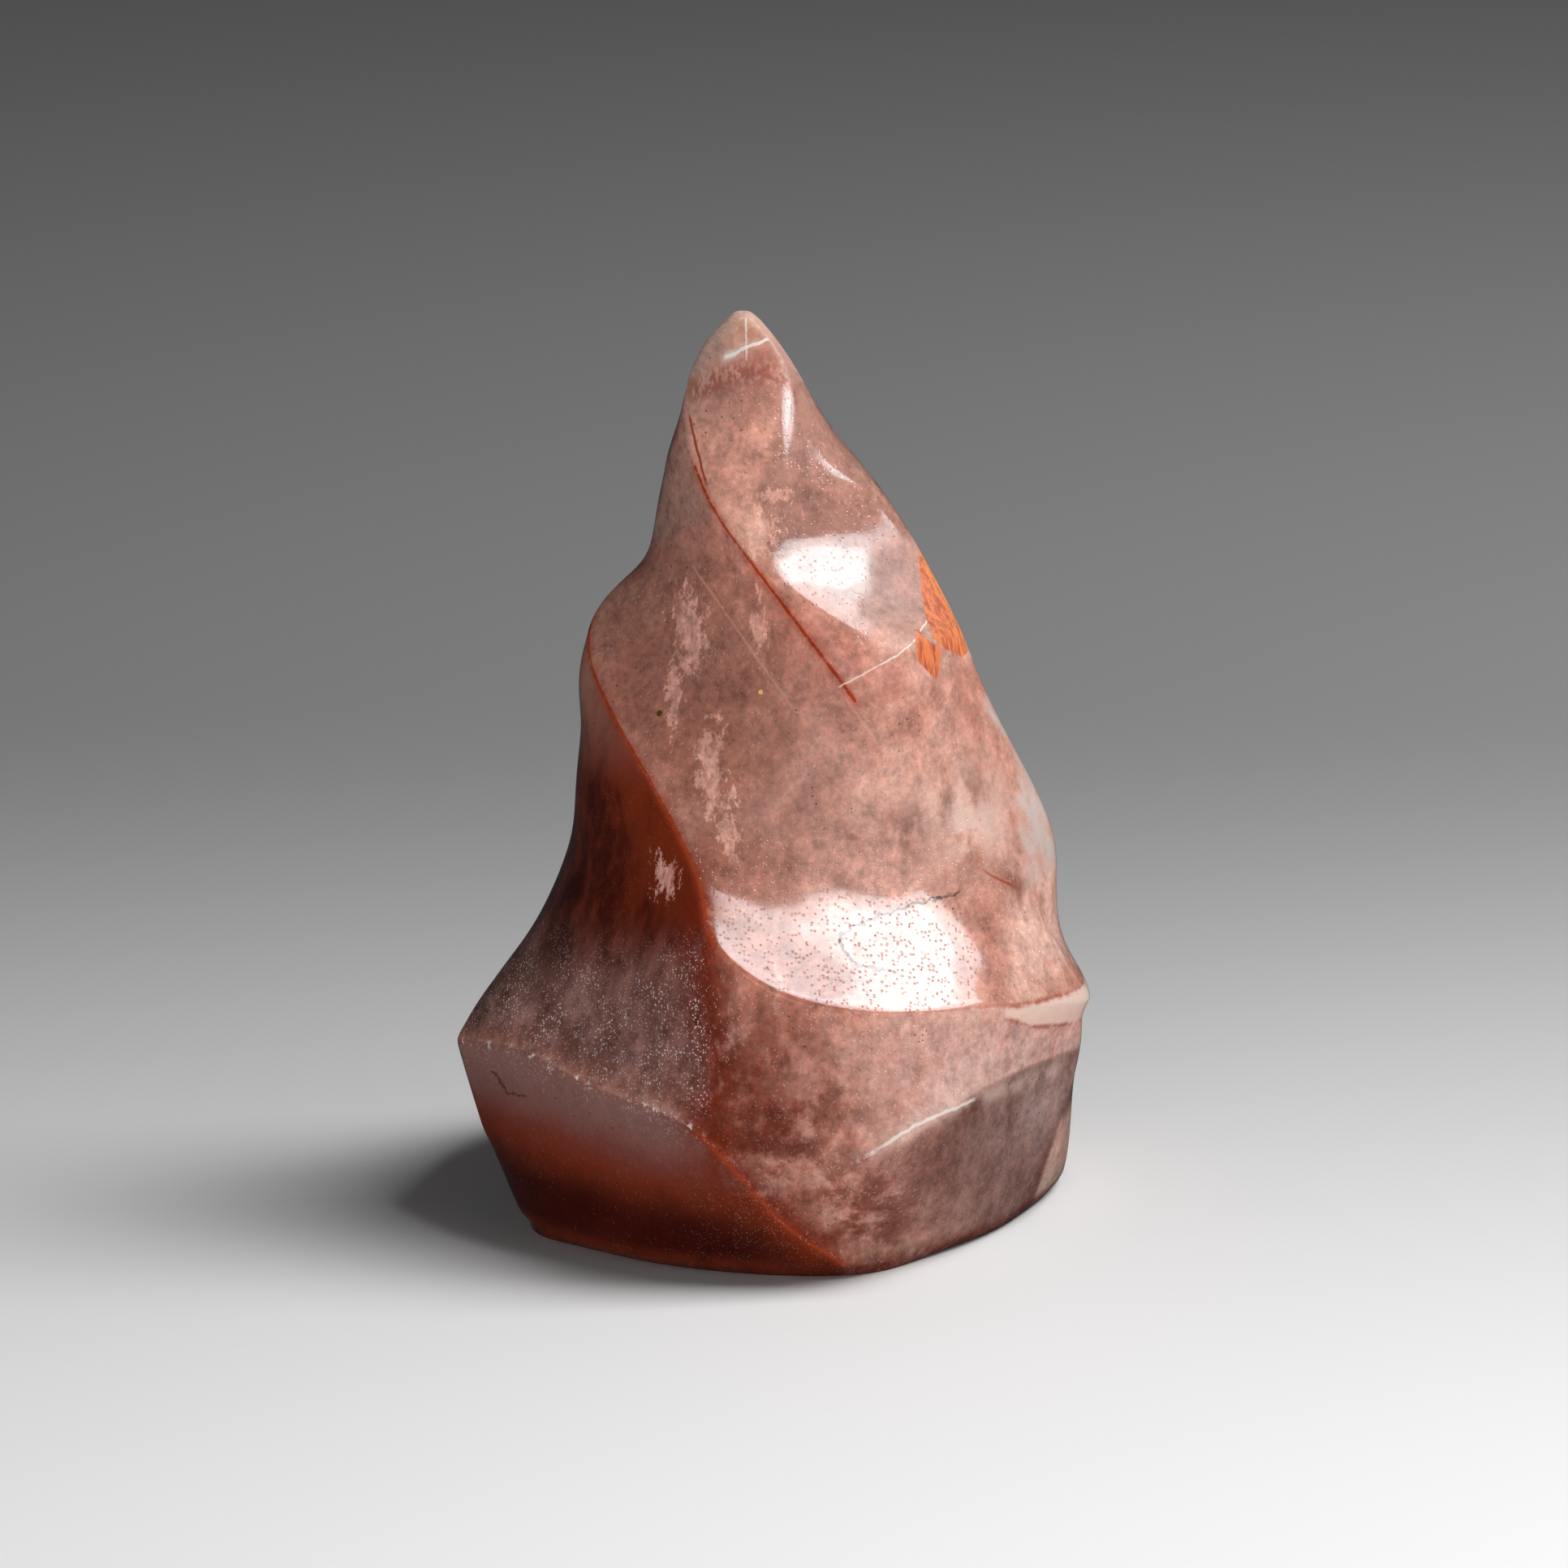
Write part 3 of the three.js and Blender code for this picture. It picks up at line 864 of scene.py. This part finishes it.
def quartz_material(zone_names):
    material, tree, shader = new_material("strawberry_quartz")
    make = Pattern(tree, zone_names)
    colour = body_colour(make)
    for layer in LAYERS:
        colour = layer(make, colour)
    make.plug(shader.inputs["Base Color"], colour)
    polish(make, shader)
    shader.inputs["IOR"].default_value = QUARTZ_IOR
    shader.inputs["Transmission Weight"].default_value = CLEAR_SHARE
    shader.inputs["Subsurface Weight"].default_value = CLOUDY_SHARE
    shader.inputs["Subsurface Radius"].default_value = SCATTER_RADIUS
    shader.inputs["Subsurface Scale"].default_value = 1
    absorb = tree.nodes.new("ShaderNodeVolumeAbsorption")
    absorb.inputs["Color"].default_value = ABSORB_COLOUR
    absorb.inputs["Density"].default_value = ABSORB_DENSITY
    output = tree.nodes["Material Output"]
    tree.links.new(absorb.outputs["Volume"], output.inputs["Volume"])
    return material


def rise(value, low, high):
    """0 below low, 1 above high and smooth between."""
    share = np.clip((value - low) / (high - low), 0, 1)
    return share * share * (3 - 2 * share)


def between(value, low, high, soft):
    return rise(value, low - soft, low + soft) * (1 - rise(value, high - soft, high + soft))


def near_point(points, centre, radii):
    """1 at the centre, fading smoothly to 0 past the three radii."""
    away = (points - np.array(centre, float)) / np.array(radii, float)
    return np.exp(-(away ** 2).sum(1))


def distance_to_path(points, path):
    path = np.array(path, float)
    best = np.full(len(points), np.inf)
    for start, end in zip(path[:-1], path[1:]):
        along = end - start
        share = np.clip((points - start) @ along / (along @ along), 0, 1)
        best = np.minimum(best, np.linalg.norm(points - start - share[:, None] * along, axis=1))
    return best


def near_path(points, path, width):
    """1 on the path, fading smoothly to 0 past that width to each side."""
    return np.exp(-(distance_to_path(points, path) / width) ** 2)


# Roughly the way from the stone to the camera
TOWARDS_CAMERA = (0, -1, 0.3)
# In millimetres: how far a thin line fades past its ends, and the distances between which its
# zone ends at its sides, well outside the line itself
LINE_END = 0.6
LINE_REACH = (3, 4)


def beside_paths(points, paths):
    """How far each point lies beside the nearest path, below 0 on its other side, and whether
    it lies between the path's ends, so that a line thinner than the mesh stays smooth."""
    nearest = np.full(len(points), np.inf)
    beside = np.zeros(len(points))
    reach = np.zeros(len(points))
    stretches = [pair for path in paths for pair in zip(path[:-1], path[1:])]
    for start, end in stretches:
        along = np.array(end, float) - start
        share = (points - start) @ along / (along @ along)
        held = np.clip(share, 0, 1)
        away = points - start - held[:, None] * along
        distance = np.linalg.norm(away, axis=1)
        side = np.cross(along, TOWARDS_CAMERA)
        closer = distance < nearest
        beside = np.where(closer, away @ side / np.linalg.norm(side), beside)
        past = np.abs(share - held) * np.linalg.norm(along)
        within = (1 - rise(past, 0, LINE_END)) * (1 - rise(distance, *LINE_REACH))
        reach = np.where(closer, within, reach)
        nearest = np.where(closer, distance, nearest)
    return beside, reach


# Where the rust stain runs down from the shelf's left end, in millimetres
RUST_CREASE = [
    (-11, -24, 52), (-9, -29, 43), (-7.5, -30.5, 35), (-6.4, -32, 27), (-8.5, -31.5, 22),
    (-5.4, -32.2, 15.7), (0.8, -32.5, 9.2), (5, -31.7, 5),
]
# Short rust streaks at the right: down the bulge, and above the shelf
RIGHT_STREAK = [(32, -3, 62), (33.1, -2.3, 57.8), (33.5, -3.8, 54.4), (33.8, -4.9, 50.9)]
SHELF_STREAK = [(26.3, -12.6, 49.7), (28.4, -11.4, 48), (30.6, -9.9, 46.4)]
# White breaks in the stone, along the right of the girdle and across the tip
RIGHT_BREAK = [(11, -34.3, 17.6), (18.2, -32.5, 21.8), (25.6, -26.1, 22.8), (36.6, -10.3, 21.1)]
TIP_BREAK = [(-5.9, -2.9, 114.6), (-3.4, -2.8, 115.8), (-1.2, -2, 116.4)]
# The band of short strokes across the tip
COMB_BAND = [
    (-9.4, -3.2, 110.6), (-7.5, -3.5, 111.7), (-4.4, -3.8, 112.7), (-0.8, -4.2, 113),
    (1.6, -4.9, 111.9),
]

# Hair-thin lines, in millimetres
LIGHT_LINES = [
    # The first is the bright arc along the shoulder ridge, a painted highlight; the second a pale
    # line down from the tip
    [(8.5, -19.2, 75.8), (11.5, -20.8, 77.9), (15.4, -18.2, 79.3), (17.8, -14, 80.1),
     (19.5, -9.6, 81.5)],
    [(-3.4, -2.1, 119.1), (-3.4, -3.2, 114.6)],
]
FAINT_LINES = [
    [(-10.1, -6.7, 87.9), (-3.9, -12.7, 80.4), (2.3, -17.2, 72.6)],
    [(9.5, -19.4, 73.8), (13.1, -19.7, 68.5)],
]
RED_LINES = [
    [(-10.6, -3.6, 106.8), (-9.6, -6, 103), (-8.5, -8, 99.4)],
    SHELF_STREAK,
]
BROWN_LINES = [
    [(23.1, -15.7, 47.2), (17.8, -19, 46.7), (12.6, -21.4, 45.8), (8.5, -24, 44.5),
     (8.5, -25.7, 42.9), (11, -26.7, 41.1), (16.2, -25.9, 39.7)],
    [(-36.5, -9.4, 20.6), (-34.5, -11.8, 18.8), (-32, -14.8, 19.1)],
]
BREAK_LINES = [RIGHT_BREAK[:3], TIP_BREAK]
LINES = {
    "pale_line_and_glint": LIGHT_LINES, "faint_line": FAINT_LINES, "red_line": RED_LINES,
    "brown_line": BROWN_LINES, "break_line": BREAK_LINES,
}
# The right bulge's edge: heights and the X at which it starts, in millimetres
BULGE_HEIGHTS = (49.1, 54.5, 59, 63, 69.2)
BULGE_EDGE = (32.4, 31.1, 31.7, 30.6, 26.8)
# The orange leaves: heights, and the X of the large one's left edge and of the small one's sides.
# The large one narrows to its top, and both lie at the front of the right edge.
LEAF_HEIGHTS = (76.1, 77.8, 79.7, 81.9, 84.5, 87.7)
LEAF_EDGE = (24.2, 22.3, 20.7, 19.5, 18.9, 18.6)
LEAF_TOP = 89.6
LEAF_TAPER = 0.4
SMALL_LEAF_HEIGHTS = (75.2, 78.4, 82.4)
SMALL_LEAF_LEFT = (20.6, 18.2, 17.9)
SMALL_LEAF_RIGHT = (21, 21.6, 17.9)
# The knob's pale lens: X, and the heights of its lower and upper edges, in millimetres
KNOB_ACROSS = (29, 34.4, 40.3)
KNOB_LOW = (32.6, 28.8, 26.3)
KNOB_HIGH = (33.8, 32.8, 31.5)
KNOB_LEFT = 29.5
# The depth that stands for outside a leaf or lens
OUTSIDE = -5


def left_zones(points, across, upward):
    height = points[:, 2]
    left = np.maximum(between(across, -1, 3, 0.05), rise(across, 9.4, 10.8))
    flute = left * between(upward, 4.6, 8.0, 0.5)
    foot = left * between(upward, -1, 3, 0.05)
    return {
        # Painted shade: the left flute, away from the lamps, laid in dark red; the ember part beside
        # the ridge is a painted glow
        "shaded_wine": flute,
        "high_left": np.maximum(rise(upward, 6.7, 7.8), 1 - rise(across, 0.0, 0.7)) * 0.85,
        "ember": flute * rise(across, 1.5, 2.9) * between(upward, 5.2, 9, 0.5),
        "apron": left * between(upward, 3, 5, 0.7) * 0.9,
        # Below the girdle at the left: deep red darkening towards the floor as painted shade, and
        # mauve partly a painted reflection of the floor
        "foot_left": foot,
        "clear": np.maximum(foot, flute),
        "foot_level": rise(upward, 1.6, 3.0),
        "dusty": np.maximum(left * between(upward, 3, 5.0, 0.5) * (height > 12),
                            near_point(points, (4, -32, 16), (12, 12, 12)) * 0.22),
    }


def leaf_depth(points):
    """How deep inside an orange leaf each point is, in millimetres from the leaf's edge."""
    x, y, height = points.T
    edge = np.interp(height, LEAF_HEIGHTS, LEAF_EDGE)
    large = [x - edge, LEAF_TAPER * (LEAF_TOP - height), height - 76, 4 - y]
    left = np.interp(height, SMALL_LEAF_HEIGHTS, SMALL_LEAF_LEFT)
    right = np.interp(height, SMALL_LEAF_HEIGHTS, SMALL_LEAF_RIGHT)
    low, high = SMALL_LEAF_HEIGHTS[0], SMALL_LEAF_HEIGHTS[-1]
    small = [x - left, right - x, -6 - y, height - low, high - height]
    return np.maximum(np.minimum.reduce(large), np.minimum.reduce(small))


def knob_depth(points):
    """How deep inside the knob's lens each point is, in millimetres from its edge."""
    x, y, height = points.T
    low = np.interp(x, KNOB_ACROSS, KNOB_LOW)
    high = np.interp(x, KNOB_ACROSS, KNOB_HIGH)
    depth = np.minimum.reduce([height - low, high - height, x - KNOB_LEFT])
    return np.where(y < 6, depth, OUTSIDE)


def right_zones(points, across, upward):
    x, height = points[:, 0], points[:, 2]
    below_girdle = between(upward, -1, 3.0, 0.06)
    upper_right = between(across, 6.9, 9.5, 0.3) * rise(upward, 7.5, 8.2)
    upper_left = between(across, 3, 6, 0.1) * rise(upward, 8.9, 9.1)
    bulge_edge = np.interp(height, BULGE_HEIGHTS, BULGE_EDGE)
    return {
        # Below the girdle at the right, laid grey-mauve, partly a painted reflection of the floor
        "foot_right": between(across, 4.5, 9.5, 0.8) * below_girdle * 0.95,
        "corner": between(across, 6, 9, 0.04) * (1 - rise(height, 11, 15)),
        # Painted light: a lighter patch below the girdle at the right
        "lit_mauve": below_girdle * near_point(points, (34, -10, 17), (9, 12, 6)),
        # Painted light: paler at the right side and in the front flute's right part
        "pale": np.maximum(rise(x, 28, 33) * between(height, 34, 50, 3) * 0.8,
                           near_point(points, (16, -17, 58), (11, 12, 13)) * 0.7),
        "belly": between(across, 4.4, 9, 0.7) * between(upward, 3, 5.0, 0.06) * 0.9,
        # Painted light shining through the thin upper front facet
        "painted_light_top": between(across, 6, 7, 0.1) * rise(upward, 8.9, 9.3) * (1 - rise(height, 107, 114)),
        # Painted shade on the upper right flute and the upper left facet
        "painted_shade_upper": np.maximum(upper_right, upper_left),
        "bulge": rise(x - bulge_edge, -0.3, 0.5) * between(height, 46, 70, 1.5),
        "leaf_depth": leaf_depth(points),
        "knob_depth": knob_depth(points),
        "frost": np.maximum.reduce([
            near_point(points, (25, -12, 56.5), (7, 9, 6)),
            near_path(points, RIGHT_BREAK, 1.3) * 0.6,
            near_path(points, TIP_BREAK, 0.7),
        ]),
        "smudge": np.maximum(near_point(points, (23.5, -14, 60), (4, 8, 3)),
                             near_point(points, (18.4, -16, 56), (3.5, 8, 4))),
    }


def satin_zone(points):
    """Where the polish is dull: the tip, beside the leaves, and in the front flute."""
    x, height = points[:, 0], points[:, 2]
    tip = rise(height, 109.5, 112.5)
    beside = rise(x, 10.8, 13.6) * between(height, 75, 91, 1.5) * rise(-points[:, 1], -4, -1)
    below = np.minimum(1, 1.5 * near_point(points, (16, -17.5, 79), (5, 6, 2.2)))
    flute = 0.6 * near_point(points, (4, -19, 62), (8, 9, 11))
    return np.maximum.reduce([tip, beside, below, flute])


def general_zones(points, across, upward):
    x, height = points[:, 0], points[:, 2]
    left_foot = between(across, -1, 3, 0.1) * (1 - between(upward, 3, 5, 0.4))
    front_flute = between(across, 3, 5.6, 0.8) * between(upward, 6, 9, 0.4)
    return {
        # Painted shade: the front flute darker towards its left, away from the lamps
        "shade": front_flute * (1 - rise(x, -12, 14)),
        "ruddy": np.maximum(near_point(points, (-1, -32, 20), (13, 14, 17)),
                            near_point(points, (12, -30, 10), (12, 14, 11))),
        "sparkly": 1 - 0.85 * np.maximum(left_foot, rise(across, 9.4, 10.8)),
        "shards": between(across, 3, 8, 0.1) * between(upward, 5.2, 10, 0.5),
        "rust": np.maximum.reduce([
            near_path(points, RUST_CREASE, 4.2),
            near_path(points, RIGHT_STREAK, 1.1),
            near_path(points, SHELF_STREAK, 1.6),
            near_point(points, (-1, -32, 26), (7, 12, 9)) * 0.8,
        ]),
        "comb": near_path(points, COMB_BAND, 1.7),
        "satin": satin_zone(points),
        "tip_shade": rise(height, 105, 110),
        # Painted glow round the base edge
        "foot_glow": (1 - rise(height, 1.0, 3.5)) * 0.9,
        "speckled": np.maximum(near_point(points, (16.2, -18.7, 69.8), (4, 8, 5)),
                               near_point(points, (-5, -5, 107), (5, 8, 6))),
        "pitted": near_point(points, (15, -22, 44), (18, 14, 10)),
    }


def line_zones(points):
    values = {}
    for name, paths in LINES.items():
        values[name + "_side"], values[name + "_reach"] = beside_paths(points, paths)
    return values


def rising_ridge(rings, rows, line, low, high):
    kept = (rows >= low) & (rows <= high)
    return rings[kept, line * SKIN_STRIDE]


def crossing_ridge(rings, rows, row, low, high):
    ring = rings[np.argmin(np.abs(rows - row))]
    return ring[low * SKIN_STRIDE:high * SKIN_STRIDE + 1]


def ridge_zones(points, rings, rows):
    """Distance in millimetres to the nearest stained ridge, how stained it is, and the painted
    highlights along the girdle's left edge.
    """
    stained = [
        (rising_ridge(rings, rows, 6, 7.8, 9.6), 1.0),
        (rising_ridge(rings, rows, 3, 5, 8.3), 1.0),
        (rising_ridge(rings, rows, 3, 1, 3), 0.9),
        (crossing_ridge(rings, rows, ROW["shelf"], 3, 6), 0.4),
    ]
    nearest = np.full(len(points), np.inf)
    stain = np.zeros(len(points))
    for path, strength in stained:
        distance = distance_to_path(points, path)
        stain = np.where(distance < nearest, strength, stain)
        nearest = np.minimum(nearest, distance)
    # Painted highlights along the girdle's left edge
    glinting_edge = crossing_ridge(rings, rows, ROW["girdle"], 0, 3)
    return {
        "edge_glints": near_path(points, glinting_edge, 0.55),
        "ridge_distance": nearest,
        "ridge_stain": stain,
    }


def store_zones(mesh, values):
    """Stores the zones' values in mesh layers, three to a layer, and gives back their names."""
    names = list(values)
    for first in range(0, len(names), ZONES_PER_LAYER):
        stored = np.zeros((len(mesh.vertices), ZONES_PER_LAYER), np.float32)
        for channel, name in enumerate(names[first:first + ZONES_PER_LAYER]):
            stored[:, channel] = values[name]
        layer_name = ZONE_LAYER + str(first // ZONES_PER_LAYER)
        layer = mesh.attributes.new(layer_name, "FLOAT_VECTOR", "POINT")
        layer.data.foreach_set("vector", stored.ravel())
    return names


def paint_zones(mesh, rings, rows, across, upward):
    points = np.empty(len(mesh.vertices) * 3)
    mesh.vertices.foreach_get("co", points)
    points = points.reshape(-1, 3) / MM
    return store_zones(mesh, {
        **left_zones(points, across, upward),
        **right_zones(points, across, upward),
        **general_zones(points, across, upward),
        **line_zones(points),
        **ridge_zones(points, rings, rows),
    })


def make_stone():
    rings, rows = skin_rings()
    mesh, across, upward = stone_mesh(rings, rows)
    zone_names = paint_zones(mesh, rings, rows, across, upward)
    stone = bpy.data.objects.new("quartz_flame_skin", mesh)
    bpy.context.scene.collection.objects.link(stone)
    mesh.materials.append(quartz_material(zone_names))
    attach(stone, "root")
    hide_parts(STONE_NODE)


make_camera()
make_stone()
make_floor()
make_lights()
bpy.context.scene.view_settings.view_transform = "Standard"
